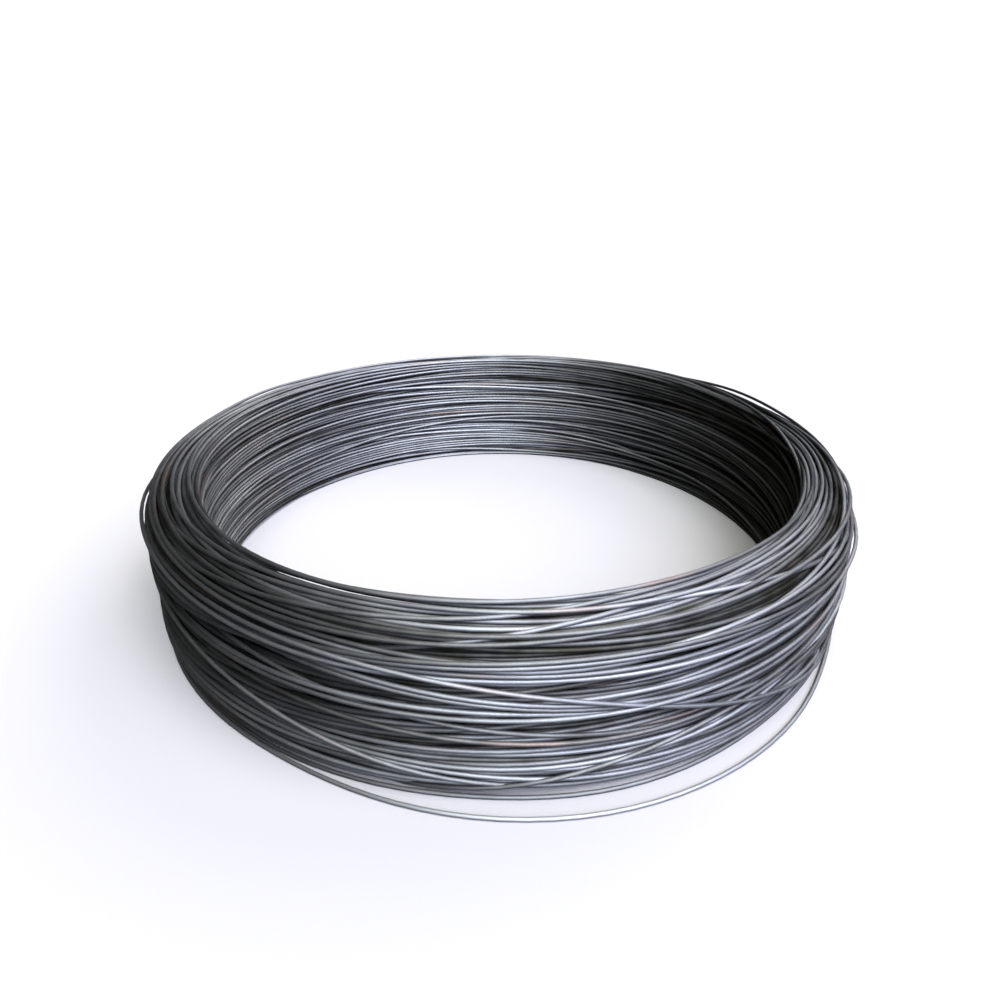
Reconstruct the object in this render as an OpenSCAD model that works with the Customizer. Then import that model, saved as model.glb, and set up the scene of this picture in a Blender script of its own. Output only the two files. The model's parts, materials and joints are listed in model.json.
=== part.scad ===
// Coil of black annealed wire, lying flat.
// One length of wire wound into a bundle of close turns round an open bore.
// On both ends and the outer wall a full layer of turns shows, with proud turns that lie apart over it.
// The bore wall is plain.
// The origin is the middle of the coil on the floor, with +Z up along the bore.

/* [Coil] */
// Diameter of the open bore
bore_d = 430; // [200:1:700]
// Width of the bundle of turns, from the bore out
bundle_w = 35; // [24:1:90]
// Height of the bundle as it lies
coil_h = 102; // [60:1:160]
// Rounding of the two outer shoulders of the bundle
shoulder_r = 17; // [6:0.5:20]

/* [Wire] */
// Diameter of the drawn wire
wire_d = 2.5; // [1.6:0.1:4]
// Least gap between neighbouring turns on the ends and the wall
turn_gap = 0.2; // [0.1:0.05:0.6]
// One turn in this many lies proud of the full layer
proud_every = 5; // [2:1:5]

/* [Hidden] */
$fn = 144;
turn_r = wire_d / 2;
turn_pitch = wire_d + turn_gap;
// Half the width of each flat of an eight-sided turn
half_flat = turn_r * tan(180 / 8);
bore_r = bore_d / 2;
coil_r = bore_r + bundle_w;

// A proud turn lies in the groove between two turns of the layer below, and rises this far over it
proud_rise = sqrt(pow(wire_d, 2) - pow(turn_pitch / 2, 2));

// The shoulder leaves room for two turns on each end and one on the wall
shoulder = min(shoulder_r, bundle_w - 2 * turn_pitch, (coil_h - turn_pitch) / 2);

// Path of the proud turn centres: out along the lower end, round a shoulder and up the wall
first_turn_r = bore_r + turn_pitch;
bend_at_r = coil_r - shoulder;
bend_at_z = shoulder;
bend_r = shoulder - turn_r;
quarter = 90;

// Steps between turns on each stretch of the path
end_steps = floor((bend_at_r - first_turn_r) / turn_pitch);
bend_steps = floor((bend_r - proud_rise) * PI / 2 / turn_pitch);
wall_steps = floor((coil_h - 2 * bend_at_z) / turn_pitch);

// Evenly spaced values from start to finish, both included
function spread(start, finish, steps) =
    [for (i = [0 : steps]) start + (finish - start) * i / steps];

// How far below the proud turns a turn lies, by its number from the bore on
function sunk(number) = number % proud_every == 0 ? 0 : proud_rise;

// Turn centres from the bore out along the lower end and round the lower shoulder
function lower_turns() =
    let (r = spread(first_turn_r, bend_at_r, end_steps))
    concat(
        [for (i = [0 : end_steps]) [r[i], turn_r + sunk(i)]],
        [for (i = [1 : 1 : bend_steps - 1])
            let (a = quarter * i / bend_steps, reach = bend_r - sunk(end_steps + i))
            [bend_at_r + reach * sin(a), bend_at_z - reach * cos(a)]]
    );

// Turn centres up the straight wall
function wall_turns() =
    let (z = spread(bend_at_z, coil_h - bend_at_z, wall_steps), first = end_steps + bend_steps)
    [for (i = [0 : wall_steps]) [coil_r - turn_r - sunk(first + i), z[i]]];

// Turn centres round the upper shoulder and in along the upper end
function upper_turns() =
    let (low = lower_turns(), last = len(low) - 1)
    [for (i = [0 : last]) [low[last - i].x, coil_h - low[last - i].y]];

// Section of the close inner turns, whose edge runs through the centres of those that show
module inner_section(turns) {
    polygon(concat([[bore_r, turn_r]], turns, [[bore_r, coil_h - turn_r]]));
}

// Section of one turn: eight-sided, with level flats that the lowest turns lie on
module turn_section() {
    right_side = [[half_flat, -turn_r], [turn_r, -half_flat], [turn_r, half_flat], [half_flat, turn_r]];
    polygon(concat(right_side, -right_side));
}

// Half section of the whole bundle
module bundle_section() {
    turns = concat(lower_turns(), wall_turns(), upper_turns());
    inner_section(turns);
    for (place = turns)
        translate(place)
            turn_section();
}

// The coil: the bundle's section turned about the bore
module wire_coil() {
    color("dimgray")
        rotate_extrude()
            bundle_section();
}

wire_coil();
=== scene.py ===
"""A coil of black annealed wire, wound turn by turn and laid flat on a plain pale floor."""

import json
import math

import bpy
import numpy as np
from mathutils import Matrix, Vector


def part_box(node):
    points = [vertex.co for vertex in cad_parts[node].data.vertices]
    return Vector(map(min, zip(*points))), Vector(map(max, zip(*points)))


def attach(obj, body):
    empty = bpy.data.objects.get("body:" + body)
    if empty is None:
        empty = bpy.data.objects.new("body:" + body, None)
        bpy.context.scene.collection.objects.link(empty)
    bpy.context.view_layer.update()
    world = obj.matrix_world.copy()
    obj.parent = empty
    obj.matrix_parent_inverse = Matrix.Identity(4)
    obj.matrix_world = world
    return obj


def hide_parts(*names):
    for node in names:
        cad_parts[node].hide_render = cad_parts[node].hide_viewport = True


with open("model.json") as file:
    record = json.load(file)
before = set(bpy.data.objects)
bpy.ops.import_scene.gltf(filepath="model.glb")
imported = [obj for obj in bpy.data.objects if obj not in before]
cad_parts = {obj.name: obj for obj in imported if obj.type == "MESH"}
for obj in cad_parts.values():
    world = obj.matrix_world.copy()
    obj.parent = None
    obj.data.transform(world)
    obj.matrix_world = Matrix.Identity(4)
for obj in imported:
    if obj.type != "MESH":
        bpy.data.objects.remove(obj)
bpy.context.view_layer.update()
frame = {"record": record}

bl_info = {
    "name": "Annealed Wire Coil",
    "version": (1, 0, 0),
    "blender": (4, 5, 0),
    "location": "3D View > Sidebar > Wire Coil",
    "description": "Winds a coil of black annealed wire and sets it on a plain stage",
    "category": "Add Mesh",
}

# What the frame says of the coil
COIL_NODE = "wire_coil"
COIL_BODY = "root"
COIL_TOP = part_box(COIL_NODE)[1]
BORE_MOUNT = next(m for m in frame["record"]["mounts"] if m["name"] == "bore")
COIL_WEIGHT = frame["record"]["physics"]["mass_kg"]

# Steel in kilograms a cubic metre, and the seed of all that is laid at random
STEEL_DENSITY = 7850.0
SEED = 3
# Samples of each turn, and the angle at the back where a turn begins
STATIONS = 120
JOIN_ANGLE = math.radians(90)
WIRE_SIDES = 8
# The mesh of a curve starts with the rims of its two caps, the far one first
CAP_RINGS = 2
# Shells of turns from the outside in, and the step between two of them in wire diameters
SHELL_NAMES = (
    "outer_turns",
    "second_turns",
    "third_turns",
    "fourth_turns",
    "fifth_turns",
)
SHELL_STEP_SHARE = 0.93
# Spacing of the turns in the shells from the outside in, and how far each shell's turns stray
SPACING_SHARES = (1.7, 1.5, 1.3, 1.05)
STRAY_SHARES = ((0.3, 1.7), (0.3, 1.2), (0.1, 0.6), (0.0, 0.2))
# Spacing and straying of the turns where they lie close, on the floor and on the bore, and the length
# over which the straying eases off
CLOSE_SPACING_SHARE = 1.12
CLOSE_STRAY_SHARE = 0.4
CLOSE_EDGE = 0.008
# How much closer the turns lie round a shoulder, and the steps that it is drawn in
SHOULDER_CLOSENESS = 1.15
SHOULDER_STEPS = 8
# Room for strays over the outer shell, and how far turns that cross and turns that stray stand proud
STRAY_ROOM_SHARE = 0.2
CROSSING_RISE_SHARE = 0.45
STRAY_PROUD_SHARE = 0.25
# Where the turns cross most, how fast that fades, and how much they still cross on the far side
LIVELY_ANGLE = math.radians(-28)
LIVELY_FADE = 1.5
QUIET_SHARE = 0.3
# Swings a turn of a wire's wandering, dipping and straying, and the depth of the dips
WANDER_SWINGS = 6.0
DIP_SWINGS = 4.0
STRAY_SWINGS = 1.7
DIP_SHARE = 0.35
# Waves that neighbouring turns drift by: how many, and their range of radians a mm and of waves a turn
DRIFT_WAVES = 10
DRIFT_PACE = (0.14, 0.45)
DRIFT_ROUNDS = (1, 5)
# Outer turns that stand off the bundle: angle, share of the height, reach and spread of the bow
BOWED_TURNS = (
    (-165, 0.90, 0.0015, 13),
    (150, 0.97, 0.0015, 10),
    (30, 0.95, 0.002, 12),
    (16, 0.86, 0.002, 12),
    (-24, 0.70, 0.002, 10),
    (-30, 0.45, 0.002, 12),
)
# How much a turn's depth counts against it when one is picked to bow
BOW_DEPTH_WEIGHT = 2
# Reach of the last loose turn past the bundle at angles from the right, in mm, as it lies on the floor
LOOSE_ANGLES = (-160, -140, -120, -104, -90, -75, -60, -44, -30, -15, 10, 40)
LOOSE_REACHES = (-9, -8, -3, 5, 11, 14, 12, 7, 0, -5, -8, -9)
LOOSE_TURNS = 2
# How far inside the last loose turn the one before it lies, in mm
LOOSE_STEP = 14
# Stations over which the loose turns bend, and over which the wire leads from the bundle to them
LOOSE_BEND_STATIONS = 9
LEAD_STATIONS = 14
# How far round and how closely the loose turns follow the foot of the bundle
FOOT_STATIONS = 5
FOOT_SWINGS = 8

# Settling: rounds, rounds between two searches for close wires, and the reach of a search
SETTLE_ROUNDS = 400
PAIRING_ROUNDS = 8
PAIRING_REACH_SHARE = 1.4
# Share of an overlap that each of the two wires moves by in a push
PUSH_SHARE = 0.42
# Wires that overlap more than this pass over one another, by depth and rank, mostly straight outwards
CROSSING_OVERLAP_SHARE = 0.35
RANK_WEIGHT = 3.0
OUTWARD_SHARE = 0.75
# Most swings a turn that the wire's stiffness lets through
STIFFNESS_SWINGS = 14.0

# Skin: middle tone of the bundle and of the loose turns, its spread, and its swings a turn
BUNDLE_TONE = 0.54
LOOSE_TONE = 0.6
TONE_SPREAD = 0.2
TONE_SWINGS = 1.5
# Painted shade: how much darker the skin is painted on turns a layer or more below the outermost, as the
# gaps between the outer turns would lie in shade
DEEP_PAINTED_SHADE = 0.42
# Swings a turn of the rust, where it starts, and how strong it gets
RUST_SWINGS = 20
RUST_START = 1.5
MOST_RUST = 0.8

# Flat layout of the wire's faces: margin of a turn's strip, and places and sizes of the two caps
UV_MAP = "OFBake"
STRIP_MARGIN = 0.06
CAP_MIDDLES = (0.25, 0.75)
CAP_SIZE = (0.1, 0.4)

# Lights: name, place, spread in degrees, strength and colour
LIT_POINT = (0, 0, 0.05)
LIGHTS = (
    ("key_light", (1.15, -0.95, 1.75), 50, 19.5, (0.84, 0.84, 1)),
    ("top_light", (0.2, -0.55, 1.9), 50, 17.5, (1, 0.99, 0.8)),
    ("front_light", (0.1, -1.5, 1.05), 45, 13.2, (0.86, 0.9, 1)),
    ("side_light", (1.5, 0.1, 0.9), 35, 2.7, (0.88, 0.94, 1)),
    ("back_light", (1.1, 1.2, 1.35), 45, 10.0, (1, 0.95, 0.88)),
)

MM = 0.001


class CoilSizes(bpy.types.PropertyGroup):
    """Sizes of the coil and of the wire in it."""

    outer_radius: bpy.props.FloatProperty(
        name="Outer radius",
        description="Radius over the outermost turns",
        default=COIL_TOP.x,
        unit="LENGTH",
    )
    bore_radius: bpy.props.FloatProperty(
        name="Bore radius",
        description="Radius of the open bore",
        default=BORE_MOUNT["dims"]["r_mm"] * MM,
        unit="LENGTH",
    )
    height: bpy.props.FloatProperty(
        name="Height",
        description="Height of the bundle as it lies",
        default=COIL_TOP.z,
        unit="LENGTH",
    )
    shoulder: bpy.props.FloatProperty(
        name="Shoulder",
        description="Rounding of the outer shoulders of the bundle",
        default=0.017,
        unit="LENGTH",
    )
    wire_diameter: bpy.props.FloatProperty(
        name="Wire diameter",
        description="Diameter of the drawn wire",
        default=0.0025,
        unit="LENGTH",
    )
    weight: bpy.props.FloatProperty(
        name="Weight",
        description="Weight of wire in the coil, in kilograms",
        default=COIL_WEIGHT,
    )
    wander: bpy.props.FloatProperty(
        name="Wander",
        description="How far a turn drifts sideways by itself",
        default=0.0025,
        unit="LENGTH",
    )
    drift: bpy.props.FloatProperty(
        name="Drift",
        description="How far neighbouring turns drift sideways together",
        default=0.0018,
        unit="LENGTH",
    )
    stray_swing: bpy.props.FloatProperty(
        name="Stray swing",
        description="How far a stray turn swings across its neighbours",
        default=0.024,
        unit="LENGTH",
    )


class WireFinish(bpy.types.PropertyGroup):
    """Colours of the annealed finish."""

    # Darkest skin colour, which the painted shade of deeper turns also darkens towards
    dark_oxide_and_shade: bpy.props.FloatVectorProperty(
        name="Deep oxide",
        description="Darkest colour of the annealed skin",
        default=(0.0084, 0.0083, 0.0072),
        subtype="COLOR",
    )
    bright_oxide: bpy.props.FloatVectorProperty(
        name="Bright oxide",
        description="Lightest colour of the annealed skin",
        default=(0.074, 0.0785, 0.09),
        subtype="COLOR",
    )
    rust: bpy.props.FloatVectorProperty(
        name="Rust",
        description="Colour of the faint rust on some turns",
        default=(0.05, 0.034, 0.031),
        subtype="COLOR",
    )


class StageSettings(bpy.types.PropertyGroup):
    """Floor, camera and light."""

    floor_colour: bpy.props.FloatVectorProperty(
        name="Floor",
        description="Colour of the floor",
        default=(0.077, 0.077, 0.085),
        subtype="COLOR",
    )
    floor_radius: bpy.props.FloatProperty(
        name="Floor radius",
        description="Radius of the floor",
        default=40.0,
        unit="LENGTH",
    )
    camera_reach: bpy.props.FloatProperty(
        name="Camera reach",
        description="Distance from the coil's middle to the camera",
        default=0.588,
        unit="LENGTH",
    )
    camera_elevation: bpy.props.FloatProperty(
        name="Camera elevation",
        description="Angle of the camera above the coil's middle",
        default=math.radians(26.2),
        subtype="ANGLE",
    )
    lens: bpy.props.FloatProperty(
        name="Lens",
        description="Focal length, on a sensor 36 mm wide",
        default=26.95,
        unit="CAMERA",
    )


class Section:
    """Upright cut through one side of the bundle: radius across, height up, in metres."""

    def __init__(self, sizes):
        self.bore = sizes.bore_radius
        self.outer = sizes.outer_radius
        self.height = sizes.height
        self.shoulder = sizes.shoulder
        self.wire = sizes.wire_diameter

    def outline(self, inset):
        """Closed path below the outline, from the outer foot in along the floor and up the bore."""
        bend = max(self.shoulder - inset, inset)
        bend_r = self.outer - inset - bend
        low = inset
        high = self.height - inset
        arc = np.linspace(0, math.pi / 2, SHOULDER_STEPS + 1)
        upper = np.column_stack([bend_r + bend * np.sin(arc), high - bend + bend * np.cos(arc)])
        lower = np.column_stack([bend_r + bend * np.cos(arc), low + bend - bend * np.sin(arc)])
        straight = np.array([[bend_r, low], [self.bore + inset, low], [self.bore + inset, high]])
        points = np.concatenate([straight, upper, lower])
        reach = np.concatenate([[0], np.cumsum(np.hypot(*np.diff(points, axis=0).T))])
        return points, reach

    def wind(self, inset, spacing_share):
        """Distances along the path at its points, and how much of the winding is laid up to each."""
        reach = self.outline(inset)[1]
        close = max(1, spacing_share / CLOSE_SPACING_SHARE)
        bends = [SHOULDER_CLOSENESS] * SHOULDER_STEPS
        closeness = np.array([close, close, 1, *bends, 1, *bends])
        return reach, np.concatenate([[0], np.cumsum(np.diff(reach) * closeness)])

    def place(self, inset, along):
        """Points on the path at an inset, at distances along it."""
        points, reach = self.outline(inset)
        along = np.mod(along, reach[-1])
        return np.column_stack([np.interp(along, reach, points[:, i]) for i in (0, 1)])

    def depth(self, points):
        """How deep points lie below the outline, and the way out to it."""
        r, z = points[..., 0], points[..., 1]
        sides = np.stack([r - self.bore, self.outer - r, self.height - z, z], -1)
        ways = np.array([[-1.0, 0.0], [1.0, 0.0], [0.0, 1.0], [0.0, -1.0]])
        depth = sides.min(-1)
        way = ways[sides.argmin(-1)]
        across = r - (self.outer - self.shoulder)
        for rise, sign in ((z - (self.height - self.shoulder), 1), (self.shoulder - z, -1)):
            reach = np.maximum(np.hypot(across, rise), self.wire * MM)
            bent = (across > 0) & (rise > 0) & (self.shoulder - reach < depth)
            depth = np.where(bent, self.shoulder - reach, depth)
            turned = np.stack([across / reach, sign * rise / reach], -1)
            way = np.where(bent[..., None], turned, way)
        return depth, way

    def hold(self, points, proud):
        """Keep wires at these points inside the outline, but for what each turn may stand proud."""
        half = self.wire / 2
        proud = proud[:, None]
        r, z = points[..., 0], points[..., 1]
        np.clip(r, self.bore + half, self.outer - half + proud, out=r)
        np.clip(z, half, self.height - half + proud, out=z)
        bend = self.shoulder - half + proud
        for middle, sign in ((self.height - self.shoulder, 1), (self.shoulder, -1)):
            across = r - (self.outer - self.shoulder)
            rise = (z - middle) * sign
            reach = np.hypot(across, rise)
            past = (across > 0) & (rise > 0) & (reach > bend)
            back = np.where(past, bend / np.maximum(reach, half), 1)
            r[...] = np.where(past, self.outer - self.shoulder + across * back, r)
            z[...] = np.where(past, middle + sign * rise * back, z)
        np.clip(z, half, None, out=z)


def smooth_noise(random, turns, swings):
    """Noise along the whole wire, with about this many swings a turn and a spread of one."""
    wave = np.fft.rfft(random.standard_normal(turns * STATIONS))
    pace = np.arange(wave.size) / turns
    noise = np.fft.irfft(wave * np.exp(-((pace / swings) ** 2)), n=turns * STATIONS)
    return noise / noise.std()


def stiffen(paths):
    """Take out bends along the wire that are too sharp for its stiffness."""
    turns = len(paths)
    wire = paths.reshape(-1, 2)
    there_and_back = np.concatenate([wire, wire[::-1]])
    wave = np.fft.rfft(there_and_back, axis=0)
    pace = np.arange(len(wave)) / (2 * turns)
    wave *= np.exp(-((pace / STIFFNESS_SWINGS) ** 4))[:, None]
    smooth = np.fft.irfft(wave, n=len(there_and_back), axis=0)
    return smooth[: len(wire)].reshape(paths.shape)


def share_into_shells(section, turns):
    """Insets, spacings and turn counts of the shells that the turns fill, from the middle out."""
    shells = []
    while turns > 0:
        inset = section.wire * (0.5 + STRAY_ROOM_SHARE + SHELL_STEP_SHARE * len(shells))
        spacing_share = SPACING_SHARES[min(len(shells), len(SPACING_SHARES) - 1)]
        laid = section.wind(inset, spacing_share)[1][-1]
        count = min(int(laid / (spacing_share * section.wire)), turns)
        shells.insert(0, (inset, spacing_share, count))
        turns -= count
    return shells


def lay_turns(sizes, section, shells, random):
    """First path of the wire: shell by shell from the middle out, drifting as it goes."""
    turns = sum(count for inset, spacing_share, count in shells)
    samples = turns * STATIONS
    angle = JOIN_ANGLE + 2 * math.pi * np.arange(samples) / STATIONS
    wander = sizes.wander * smooth_noise(random, turns, WANDER_SWINGS)
    dip = DIP_SHARE * section.wire * smooth_noise(random, turns, DIP_SWINGS)
    swing = sizes.stray_swing * smooth_noise(random, turns, STRAY_SWINGS)
    stray = np.concatenate(
        [
            random.uniform(*STRAY_SHARES[min(depth, len(STRAY_SHARES) - 1)], count)
            for depth, (inset, spacing_share, count) in reversed(list(enumerate(reversed(shells))))
        ]
    )
    window = np.hanning(STATIONS)
    gate = np.convolve(np.repeat(stray, STATIONS), window / window.sum(), "same")
    lively = (0.5 + 0.5 * np.cos(angle - LIVELY_ANGLE)) ** LIVELY_FADE
    swing *= gate * (QUIET_SHARE + (1 - QUIET_SHARE) * lively)
    waves = [
        (
            random.uniform(*DRIFT_PACE) / MM,
            random.integers(*DRIFT_ROUNDS) * random.choice([-1, 1]),
            random.uniform(0, 2 * math.pi),
        )
        for i in range(DRIFT_WAVES)
    ]
    pieces = []
    first = 0
    for inset, spacing_share, count in shells:
        part = slice(first * STATIONS, (first + count) * STATIONS)
        reach, laid = section.wind(inset, spacing_share)
        along = np.interp(np.linspace(0, laid[-1], count * STATIONS, endpoint=False), laid, reach)
        drift = sum(np.sin(k * along + m * angle[part] + p) for k, m, p in waves)
        drift *= sizes.drift / math.sqrt(DRIFT_WAVES / 2)
        close_at = (0, CLOSE_EDGE, reach[2] + CLOSE_EDGE, reach[2] + 2 * CLOSE_EDGE)
        ease = np.interp(along, close_at, (1, CLOSE_STRAY_SHARE, CLOSE_STRAY_SHARE, 1))
        place = section.place(inset, along + ease * (wander[part] + drift + swing[part]))
        way = section.depth(place)[1]
        lift = dip[part] + gate[part] * STRAY_ROOM_SHARE * section.wire
        pieces.append(place + way * lift[:, None])
        first += count
    paths = np.concatenate(pieces).reshape(turns, STATIONS, 2)
    return paths, stray


def near_pairs(paths, reach):
    """Numbers of the wire samples that lie within reach of each other at one station."""
    turns = len(paths)
    firsts, seconds = [], []
    for station in range(STATIONS):
        r, z = paths[:, station].T
        order = np.argsort(z)
        last = np.searchsorted(z[order], z[order] + reach, side="right")
        counts = last - np.arange(turns) - 1
        lower = np.repeat(np.arange(turns), counts)
        step = np.arange(counts.sum()) - np.repeat(np.cumsum(counts) - counts, counts)
        first, second = order[lower], order[lower + 1 + step]
        near = np.abs(r[first] - r[second]) < reach
        firsts.append(first[near] * STATIONS + station)
        seconds.append(second[near] * STATIONS + station)
    return np.concatenate(firsts), np.concatenate(seconds)


def settle(paths, section, stray, random):
    """Push overlapping turns apart until the wire lies clear of itself; strays cross outside.

    The rounds push by turns at the stations and half way between them.
    """
    wire = section.wire
    proud = (CROSSING_RISE_SHARE + stray * STRAY_PROUD_SHARE) * wire
    rank = np.repeat(random.random(len(paths)) + stray, STATIONS)
    section.hold(paths, proud)
    pairs = {}
    for step in range(SETTLE_ROUNDS):
        between = step % 2 == 1
        whole = paths.reshape(-1, 2)
        flat = (whole + np.append(whole[1:], whole[-1:], axis=0)) / 2 if between else whole.copy()
        if step % PAIRING_ROUNDS < 2:
            pairs[between] = near_pairs(flat.reshape(paths.shape), PAIRING_REACH_SHARE * wire)
        first, second = pairs[between]
        apart = flat[second] - flat[first]
        gap = np.hypot(*apart.T)
        close = gap < wire
        a, b = first[close], second[close]
        overlap = wire - gap[close]
        push = apart[close] / np.maximum(gap[close], wire * MM)[:, None]
        deep = overlap > CROSSING_OVERLAP_SHARE * wire
        depth, way = section.depth(flat)
        one, other = a[deep], b[deep]
        over = (depth[one] - depth[other]) / wire + RANK_WEIGHT * (rank[other] - rank[one])
        out = np.sign(over)[:, None] * (way[one] + way[other]) / 2
        push[deep] = OUTWARD_SHARE * out + (1 - OUTWARD_SHARE) * push[deep]
        push *= PUSH_SHARE * overlap[:, None]
        for i in (0, 1):
            moved = np.bincount(b, push[:, i], len(flat)) - np.bincount(a, push[:, i], len(flat))
            whole[:, i] += moved
            if between:
                whole[1:, i] += moved[:-1]
            else:
                whole[1:, i] += moved[:-1] / 2
                whole[:-1, i] += moved[1:] / 2
        paths = stiffen(whole.reshape(paths.shape))
        section.hold(paths, proud)
    return paths


def bow_turns(wire, section, outer_from):
    """Bow some of the outer turns away from the bundle."""
    station_angle = 2 * math.pi / STATIONS
    for degrees, height_share, reach, spread in BOWED_TURNS:
        station = round((math.radians(degrees) - JOIN_ANGLE) / station_angle) % STATIONS
        picks = np.arange(outer_from * STATIONS + station, len(wire), STATIONS)
        picks = picks[wire[picks, 0] > (section.bore + section.outer) / 2]
        off_level = np.abs(wire[picks, 1] - height_share * section.height)
        pick = picks[np.argmin(off_level + BOW_DEPTH_WEIGHT * section.depth(wire[picks])[0])]
        way = section.depth(wire[pick])[1]
        away = (np.arange(len(wire)) - pick) * station_angle / math.radians(spread)
        wire += (reach * np.exp(-(away**2)))[:, None] * way


def periodic_smooth(values, swings):
    """Keep only the slow swings of values round one turn."""
    wave = np.fft.rfft(values)
    return np.fft.irfft(wave * np.exp(-((np.arange(wave.size) / swings) ** 2)), n=len(values))


def lay_loose_turns(wire, section):
    """The last turns of the wire, lying on the floor round the foot of the bundle."""
    half = section.wire / 2
    r, z = wire.reshape(-1, STATIONS, 2).transpose(2, 0, 1)
    rise = np.clip(np.abs(z - half), 0, section.wire)
    clear = np.where(rise < section.wire, r + np.sqrt(section.wire**2 - rise**2), 0).max(0)
    near = range(-FOOT_STATIONS, FOOT_STATIONS + 1)
    widest = np.max([np.roll(clear, station) for station in near], axis=0)
    clear = periodic_smooth(widest, FOOT_SWINGS) + half / 2

    samples = np.arange(LOOSE_TURNS * STATIONS + 1)
    turn = samples / STATIONS
    angle = np.degrees(JOIN_ANGLE) + 360 * turn
    reach = np.interp((angle + 180) % 360 - 180, LOOSE_ANGLES, LOOSE_REACHES)
    reach -= LOOSE_STEP * (LOOSE_TURNS - np.ceil(turn))
    path = np.empty((len(samples), 2))
    path[:, 0] = clear[samples % STATIONS] + section.wire * turn
    path[:, 0] = np.maximum(path[:, 0], section.outer + MM * reach)
    window = np.hanning(LOOSE_BEND_STATIONS + 2)
    padded = np.pad(path[:, 0], LOOSE_BEND_STATIONS // 2 + 1, "edge")
    path[:, 0] = np.convolve(padded, window / window.sum(), "valid")
    path[:, 1] = half
    return path


def in_space(path, first_station=0):
    """Points in space of a wire given as radius and height, from a station on."""
    angle = JOIN_ANGLE + 2 * math.pi * (first_station + np.arange(len(path))) / STATIONS
    return np.column_stack([path[:, 0] * np.cos(angle), path[:, 0] * np.sin(angle), path[:, 1]])


def add_wire(name, points, diameter, tone_and_shade, rust):
    """Make a stretch of wire: a curve with a round bevel, turned into a mesh."""
    bpy.ops.object.select_all(action="DESELECT")
    bpy.ops.curve.primitive_nurbs_path_add(location=(0, 0, 0))
    piece = bpy.context.object
    piece.name = name
    curve = piece.data
    curve.splines.clear()
    spline = curve.splines.new("POLY")
    spline.points.add(len(points) - 1)
    spline.points.foreach_set("co", np.column_stack([points, np.ones(len(points))]).ravel())
    curve.twist_mode = "Z_UP"
    curve.bevel_depth = diameter / 2
    curve.bevel_resolution = WIRE_SIDES // 2 - 2
    curve.use_fill_caps = True
    bpy.ops.object.convert(target="MESH")
    bpy.ops.object.shade_smooth()
    piece = bpy.context.object
    piece.data.name = name
    mesh = piece.data
    rings = np.arange(len(mesh.vertices)) // WIRE_SIDES - CAP_RINGS
    rings[:WIRE_SIDES] = len(points) - 1
    rings = np.clip(rings, 0, len(points) - 1)
    # The first attribute holds the random tone of the skin together with the painted shade of deeper
    # turns
    for label, values in (("tone_and_shade", tone_and_shade), ("rust", rust)):
        layer = mesh.attributes.new(label, "FLOAT", "POINT")
        layer.data.foreach_set("value", values[rings].astype(np.float32))
    lay_out(mesh)
    return piece


def lay_out(mesh):
    """Lay the wire's faces out flat: a strip for each turn, and one more for the two ends."""
    corners = np.empty(len(mesh.loops), np.int32)
    starts = np.empty(len(mesh.polygons), np.int32)
    mesh.loops.foreach_get("vertex_index", corners)
    mesh.polygons.foreach_get("loop_start", starts)
    counts = np.diff(np.append(starts, len(corners)))
    ring = corners // WIRE_SIDES - CAP_RINGS
    side = corners % WIRE_SIDES
    turn = np.repeat(np.minimum.reduceat(ring, starts), counts) // STATIONS
    last_side = np.repeat(np.maximum.reduceat(side, starts), counts) == WIRE_SIDES - 1
    first_side = np.repeat(np.minimum.reduceat(side, starts), counts) == 0
    side = np.where(last_side & first_side & (side == 0), WIRE_SIDES, side)
    strips = turn.max() + 2
    along = ring / STATIONS - turn
    across = (turn + STRIP_MARGIN + (1 - 2 * STRIP_MARGIN) * side / WIRE_SIDES) / strips
    cap = ring < 0
    around = 2 * math.pi * side / WIRE_SIDES
    middle = np.where(ring < -1, *CAP_MIDDLES)
    along = np.where(cap, middle + CAP_SIZE[0] * np.cos(around), along)
    across = np.where(cap, (strips - 0.5 + CAP_SIZE[1] * np.sin(around)) / strips, across)
    layer = mesh.uv_layers[0]
    layer.name = UV_MAP
    layer.uv.foreach_set("vector", np.column_stack([along, across]).astype(np.float32).ravel())


def draw_skin(random, turns, middle_tone):
    """Tone and rust of the skin along so many turns of wire."""
    tone_and_shade = middle_tone + TONE_SPREAD * smooth_noise(random, turns, TONE_SWINGS)
    rust = np.clip(smooth_noise(random, turns, RUST_SWINGS) - RUST_START, 0, MOST_RUST)
    return tone_and_shade, rust


def finish_wire(piece, material):
    """Give a stretch of wire its finish and its place in the frame."""
    piece.data.materials.clear()
    piece.data.materials.append(material)
    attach(piece, COIL_BODY)
    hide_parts(COIL_NODE)


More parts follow.
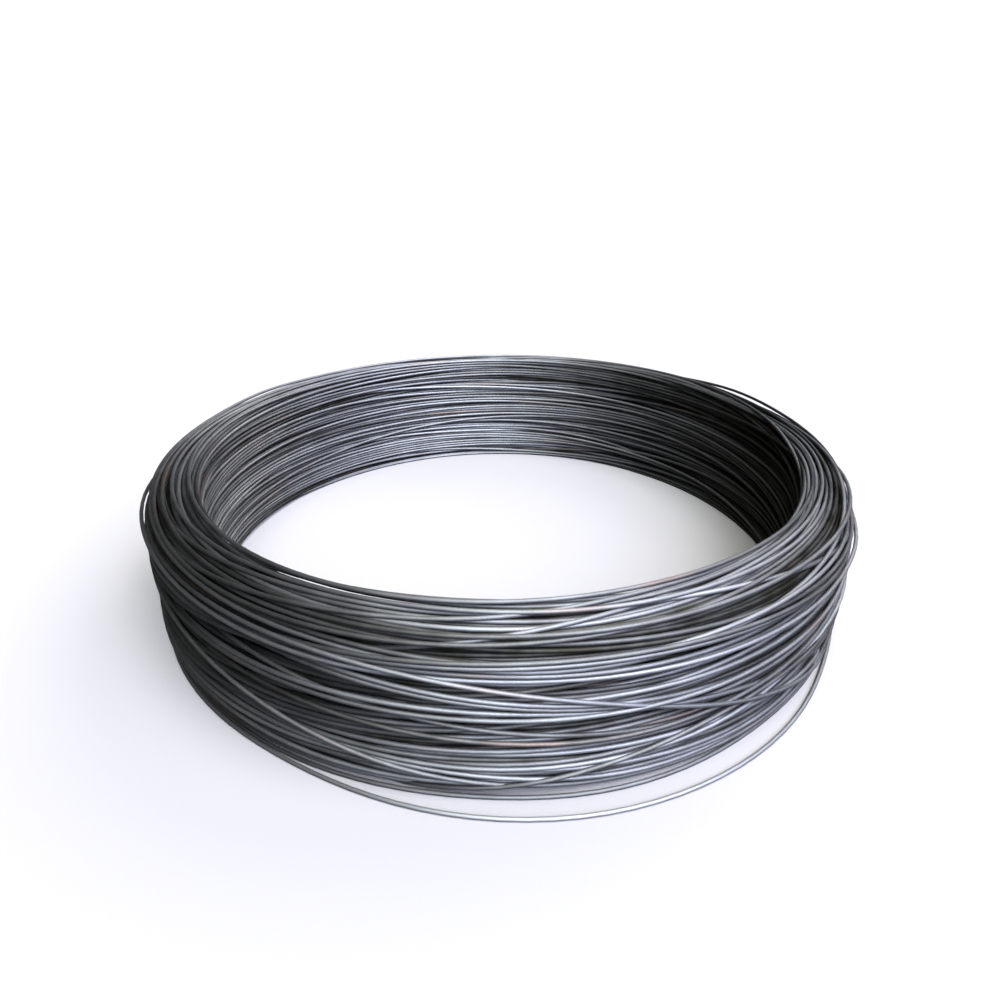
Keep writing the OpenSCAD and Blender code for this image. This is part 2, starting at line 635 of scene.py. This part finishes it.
def annealed_steel(finish):
    """Dark oxide skin of drawn steel wire: mottled, painted darker as shade on the deeper turns,
    glossier along it than across, with a faint rust.
    """
    material = bpy.data.materials.get("annealed_steel")
    if material:
        return material
    material = bpy.data.materials.new("annealed_steel")
    material.use_nodes = True
    nodes = material.node_tree.nodes
    links = material.node_tree.links
    shader = nodes["Principled BSDF"]
    shader.inputs["Metallic"].default_value = 1.0
    shader.inputs["Specular Tint"].default_value = (0.3, 0.3, 0.3, 1)
    # Drawn wire is smoother along its length than across it
    shader.inputs["Anisotropic"].default_value = 0.55
    shader.inputs["Anisotropic Rotation"].default_value = 0.25
    lengthwise = nodes.new("ShaderNodeTangent")
    lengthwise.direction_type = "UV_MAP"
    lengthwise.uv_map = UV_MAP
    links.new(lengthwise.outputs["Tangent"], shader.inputs["Tangent"])

    place = nodes.new("ShaderNodeTexCoord")
    patches = nodes.new("ShaderNodeTexNoise")
    patches.inputs["Scale"].default_value = 55.0
    patches.inputs["Detail"].default_value = 4.0
    links.new(place.outputs["Object"], patches.inputs["Vector"])
    specks = nodes.new("ShaderNodeTexNoise")
    specks.inputs["Scale"].default_value = 900.0
    specks.inputs["Detail"].default_value = 3.0
    links.new(place.outputs["Object"], specks.inputs["Vector"])

    # Random tone of the skin, with the painted shade of deeper turns taken off it
    tone_and_shade = nodes.new("ShaderNodeAttribute")
    tone_and_shade.attribute_name = "tone_and_shade"
    blend = nodes.new("ShaderNodeMath")
    blend.operation = "MULTIPLY_ADD"
    links.new(patches.outputs["Fac"], blend.inputs[0])
    blend.inputs[1].default_value = 0.5
    links.new(tone_and_shade.outputs["Fac"], blend.inputs[2])
    shade = nodes.new("ShaderNodeMapRange")
    shade.inputs["From Min"].default_value = 0.2
    shade.inputs["From Max"].default_value = 1.2
    links.new(blend.outputs["Value"], shade.inputs["Value"])
    # Mix from the darkest to the lightest skin colour by random tone and painted shade
    oxide = nodes.new("ShaderNodeMix")
    oxide.data_type = "RGBA"
    oxide.inputs["A"].default_value = (*finish.dark_oxide_and_shade, 1)
    oxide.inputs["B"].default_value = (*finish.bright_oxide, 1)
    links.new(shade.outputs["Result"], oxide.inputs["Factor"])

    rust = nodes.new("ShaderNodeAttribute")
    rust.attribute_name = "rust"
    rust_amount = nodes.new("ShaderNodeMath")
    rust_amount.operation = "MULTIPLY"
    links.new(rust.outputs["Fac"], rust_amount.inputs[0])
    links.new(patches.outputs["Fac"], rust_amount.inputs[1])
    skin = nodes.new("ShaderNodeMix")
    skin.data_type = "RGBA"
    skin.inputs["B"].default_value = (*finish.rust, 1)
    links.new(rust_amount.outputs["Value"], skin.inputs["Factor"])
    links.new(oxide.outputs["Result"], skin.inputs["A"])
    links.new(skin.outputs["Result"], shader.inputs["Base Color"])

    gloss = nodes.new("ShaderNodeMapRange")
    gloss.inputs["To Min"].default_value = 0.48
    gloss.inputs["To Max"].default_value = 0.66
    links.new(specks.outputs["Fac"], gloss.inputs["Value"])
    links.new(gloss.outputs["Result"], shader.inputs["Roughness"])

    grain = nodes.new("ShaderNodeBump")
    grain.inputs["Strength"].default_value = 0.15
    grain.inputs["Distance"].default_value = 0.0002
    links.new(specks.outputs["Fac"], grain.inputs["Height"])
    links.new(grain.outputs["Normal"], shader.inputs["Normal"])
    return material


# The bundle's section and wire, kept for the loose turns
wound = {}


class COIL_OT_wind_bundle(bpy.types.Operator):
    """Wind the bundle: one long wire, laid shell by shell and settled clear of itself"""

    bl_idname = "coil.wind_bundle"
    bl_label = "Wind the Bundle"

    def execute(self, context):
        sizes = context.scene.coil_sizes
        material = annealed_steel(context.scene.wire_finish)
        random = np.random.default_rng(SEED)
        section = Section(sizes)
        turn_length = math.pi * (section.bore + section.outer)
        turn_weight = STEEL_DENSITY * turn_length * math.pi * section.wire**2 / 4
        shells = share_into_shells(section, round(sizes.weight / turn_weight))
        paths, stray = lay_turns(sizes, section, shells, random)
        paths = settle(paths, section, stray, random)

        turns = len(paths)
        wire = paths.reshape(-1, 2)
        bow_turns(wire, section, turns - shells[-1][-1])
        tone_and_shade, rust = draw_skin(random, turns, BUNDLE_TONE)
        # Painted shade: turns that lie deeper in the bundle are painted darker, on top of their random
        # tone
        tone_and_shade -= DEEP_PAINTED_SHADE * np.clip(section.depth(wire)[0] / section.wire - 1, 0, 1)
        tone_and_shade = np.clip(tone_and_shade, 0, 1)
        wound.update(section=section, wire=wire)
        names = reversed(SHELL_NAMES[: len(shells)])
        first = 0
        for name, (inset, spacing_share, count) in zip(names, shells, strict=True):
            part = slice(first * STATIONS, (first + count) * STATIONS + 1)
            points = in_space(wire[part])
            piece = add_wire(name, points, section.wire, tone_and_shade[part], rust[part])
            finish_wire(piece, material)
            first += count
        return {"FINISHED"}


class COIL_OT_lay_loose_turns(bpy.types.Operator):
    """Lay the last turns of the wire on the floor round the foot of the bundle"""

    bl_idname = "coil.lay_loose_turns"
    bl_label = "Lay the Loose Turns"

    def execute(self, context):
        material = annealed_steel(context.scene.wire_finish)
        random = np.random.default_rng(SEED)
        section = wound["section"]
        path = lay_loose_turns(wound["wire"], section)
        lead = np.clip(np.arange(len(path)) / LEAD_STATIONS, 0, 1)
        lead = (lead**2 * (3 - 2 * lead))[:, None]
        path = wound["wire"][-1] * (1 - lead) + path * lead
        tone_and_shade, rust = draw_skin(random, LOOSE_TURNS + 1, LOOSE_TONE)
        points = in_space(path, -1)
        piece = add_wire("loose_turns", points, section.wire, np.clip(tone_and_shade, 0, 1), rust)
        finish_wire(piece, material)
        return {"FINISHED"}


class COIL_OT_build_stage(bpy.types.Operator):
    """Set a pale floor, soft studio light and the camera"""

    bl_idname = "coil.build_stage"
    bl_label = "Build the Stage"

    def execute(self, context):
        settings = context.scene.stage_settings
        add_floor(settings)
        add_lights(context)
        add_camera(context, settings)
        return {"FINISHED"}


def add_floor(settings):
    """A wide round floor, that throws no light back on the coil."""
    bpy.ops.object.select_all(action="DESELECT")
    bpy.ops.mesh.primitive_circle_add(vertices=96, radius=settings.floor_radius, fill_type="NGON")
    floor = bpy.context.object
    floor.name = "floor"
    material = bpy.data.materials.new("pale_floor")
    material.use_nodes = True
    shader = material.node_tree.nodes["Principled BSDF"]
    shader.inputs["Base Color"].default_value = (*settings.floor_colour, 1)
    shader.inputs["Roughness"].default_value = 0.9
    shader.inputs["Specular IOR Level"].default_value = 0
    floor.data.materials.append(material)
    floor.visible_diffuse = False
    floor.visible_glossy = False


def aim(place, target):
    """Rotation that turns a light's face from its place to a target."""
    return (Vector(target) - Vector(place)).to_track_quat("-Z", "Y").to_euler()


def add_sun(name, place, target, spread, strength, colour):
    """An even light from far off, as broad as a sky of so many degrees."""
    bpy.ops.object.light_add(type="SUN", location=place, rotation=aim(place, target))
    sun = bpy.context.object
    sun.name = name
    sun.data.angle = math.radians(spread)
    sun.data.energy = strength
    sun.data.color = colour


def add_lights(context):
    """Broad soft lights, cool from the front and the right, warm from above and behind, and a sky."""
    for name, place, spread, strength, colour in LIGHTS:
        add_sun(name, place, LIT_POINT, spread, strength, colour)
    add_sky(context)
    context.scene.view_settings.view_transform = "Standard"


def add_sky(context):
    """A dim, warm, even sky for the light, that looks as pale as the far floor."""
    world = bpy.data.worlds.new("studio")
    context.scene.world = world
    world.use_nodes = True
    nodes = world.node_tree.nodes
    links = world.node_tree.links
    dim = nodes["Background"]
    dim.inputs["Color"].default_value = (1, 0.93, 0.5, 1)
    dim.inputs["Strength"].default_value = 0.17
    pale = nodes.new("ShaderNodeBackground")
    pale.inputs["Color"].default_value = (0.98, 0.985, 1, 1)
    pale.inputs["Strength"].default_value = 1.05
    seen = nodes.new("ShaderNodeLightPath")
    choice = nodes.new("ShaderNodeMixShader")
    links.new(seen.outputs["Is Camera Ray"], choice.inputs["Fac"])
    links.new(dim.outputs["Background"], choice.inputs[1])
    links.new(pale.outputs["Background"], choice.inputs[2])
    links.new(choice.outputs["Shader"], nodes["World Output"].inputs["Surface"])


def add_camera(context, settings):
    """A camera in front of the coil, aimed at its middle."""
    reach = settings.camera_reach
    tilt = settings.camera_elevation
    middle = Vector((0, 0, COIL_TOP.z / 2))
    place = middle + reach * Vector((0, -math.cos(tilt), math.sin(tilt)))
    bpy.ops.object.camera_add(location=place, rotation=(math.pi / 2 - tilt, 0, 0))
    camera = bpy.context.object
    camera.name = "camera"
    camera.data.lens = settings.lens
    camera.data.clip_start = 0.01
    context.scene.camera = camera


class COIL_PT_panel(bpy.types.Panel):
    """Steps that make the coil, in order"""

    bl_label = "Wire Coil"
    bl_idname = "COIL_PT_panel"
    bl_space_type = "VIEW_3D"
    bl_region_type = "UI"
    bl_category = "Wire Coil"

    def draw(self, context):
        for group in ("coil_sizes", "wire_finish", "stage_settings"):
            settings = getattr(context.scene, group)
            box = self.layout.box()
            for name in settings.__annotations__:
                box.prop(settings, name)
        for operator in OPERATORS:
            self.layout.operator(operator.bl_idname)


GROUPS = {"coil_sizes": CoilSizes, "wire_finish": WireFinish, "stage_settings": StageSettings}
OPERATORS = (COIL_OT_wind_bundle, COIL_OT_lay_loose_turns, COIL_OT_build_stage)


def register():
    for name, group in GROUPS.items():
        bpy.utils.register_class(group)
        setattr(bpy.types.Scene, name, bpy.props.PointerProperty(type=group))
    for operator in OPERATORS:
        bpy.utils.register_class(operator)
    bpy.utils.register_class(COIL_PT_panel)


def unregister():
    bpy.utils.unregister_class(COIL_PT_panel)
    for operator in reversed(OPERATORS):
        bpy.utils.unregister_class(operator)
    for name, group in GROUPS.items():
        delattr(bpy.types.Scene, name)
        bpy.utils.unregister_class(group)


def main():
    register()
    bpy.ops.coil.wind_bundle()
    bpy.ops.coil.lay_loose_turns()
    bpy.ops.coil.build_stage()


if __name__ == "__main__":
    main()
